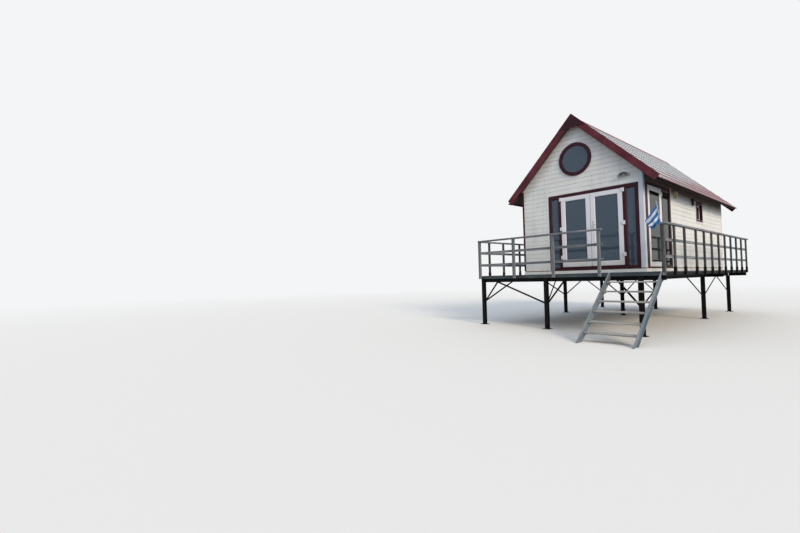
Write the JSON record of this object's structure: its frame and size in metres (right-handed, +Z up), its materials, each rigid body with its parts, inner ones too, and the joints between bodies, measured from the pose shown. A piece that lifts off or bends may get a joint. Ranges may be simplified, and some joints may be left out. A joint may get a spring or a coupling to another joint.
{
  "type": "beach hut on a railed platform",
  "caption": "Timber beach hut with a steep tiled gable roof, glazed front and side doors and a round gable window, on a railed platform of steel legs with a metal stair.",
  "frame": {"origin": "on the ground, below the middle of the box that holds the platform, the stair and the roof", "axes": "+X to the right along the front of the hut, +Y from the front to the back along the ridge, +Z up"},
  "size_m": [5.294, 10.901, 6.0537],
  "materials": {
    "cream_boards": "painted timber cladding",
    "burgundy_paint": "painted hardwood",
    "white_pvc": "white extruded profile",
    "grey_paint": "light grey painted timber",
    "pane_glass": "sealed glass unit",
    "roof_tile": "tile-effect sheet, faded red",
    "ridge_red": "painted ridge flashing",
    "roof_boarding": "dark stained boarding",
    "weathered_wood": "grey weathered timber",
    "floor_wood": "timber floor",
    "black_steel": "black painted steel",
    "galvanised_steel": "galvanised",
    "handle_steel": "brushed",
    "lamp_black": "matt black",
    "lamp_white": "white housing",
    "flag_cloth": "light woven polyester"
  },
  "bodies": {
    "hut": {"bargeboards": "burgundy_paint", "bearers": "black_steel", "corner_post": "grey_paint", "corner_trims": "burgundy_paint", "cross_beams": "black_steel", "eaves_boards": "burgundy_paint", "flag": "flag_cloth", "flag_pole": "galvanised_steel", "floor": "floor_wood", "frame_hinges": "white_pvc", "front_deck": "weathered_wood", "front_door_frame": "burgundy_paint", "front_edge_channel": "galvanised_steel", "front_gable": "cream_boards", "front_railing_posts": "weathered_wood", "front_railing_rails": "weathered_wood", "front_wall_left": "cream_boards", "gable_light": "lamp_white", "joists": "weathered_wood", "left_railing_posts": "weathered_wood", "left_railing_rails": "weathered_wood", "left_wall": "cream_boards", "leg_braces": "black_steel", "legs": "black_steel", "plinth_boards": "white_pvc", "rear_wall": "cream_boards", "ridge_cap": "ridge_red", "right_railing_posts": "weathered_wood", "right_railing_rails": "weathered_wood", "right_wall": "cream_boards", "right_wall_header": "cream_boards", "roof_frame_left": "roof_boarding", "roof_frame_right": "roof_boarding", "roof_tiles_left": "roof_tile", "roof_tiles_right": "roof_tile", "round_window_frame": "burgundy_paint", "side_decks": "weathered_wood", "side_door_frame": "burgundy_paint", "side_edge_channels": "black_steel", "side_lamp": "lamp_black", "side_window_frame": "burgundy_paint", "side_window_sash": "white_pvc", "sidelight_glass": "pane_glass", "stair_stringers": "galvanised_steel", "stair_treads": "weathered_wood", "vent_hood": "lamp_white", "window_glass": "pane_glass"},
    "front_door_left": {"front_door_left_leaf": "white_pvc", "front_door_left_glass": "pane_glass", "front_door_left_hinges": "white_pvc"},
    "front_door_right": {"front_door_right_leaf": "white_pvc", "front_door_right_glass": "pane_glass", "front_door_right_hinges": "white_pvc", "front_door_right_handle": "handle_steel"},
    "side_door": {"side_door_leaf": "white_pvc", "side_door_glass": "pane_glass", "side_door_hinges": "white_pvc", "side_door_handle": "handle_steel"}
  },
  "joints": [
    {"name": "front_left_hinge", "type": "hinge", "parent": "hut", "child": "front_door_left", "pos_m": [-0.363, -2.6235, 1.704], "axis": [0, 0, -1], "range_deg": [0, 100]},
    {"name": "front_right_hinge", "type": "hinge", "parent": "hut", "child": "front_door_right", "pos_m": [1.341, -2.6235, 1.704], "axis": [0, 0, 1], "range_deg": [0, 100]},
    {"name": "side_door_hinge", "type": "hinge", "parent": "hut", "child": "side_door", "pos_m": [1.86, -1.2945, 1.704], "axis": [0, 0, 1], "range_deg": [0, 42]}
  ]
}
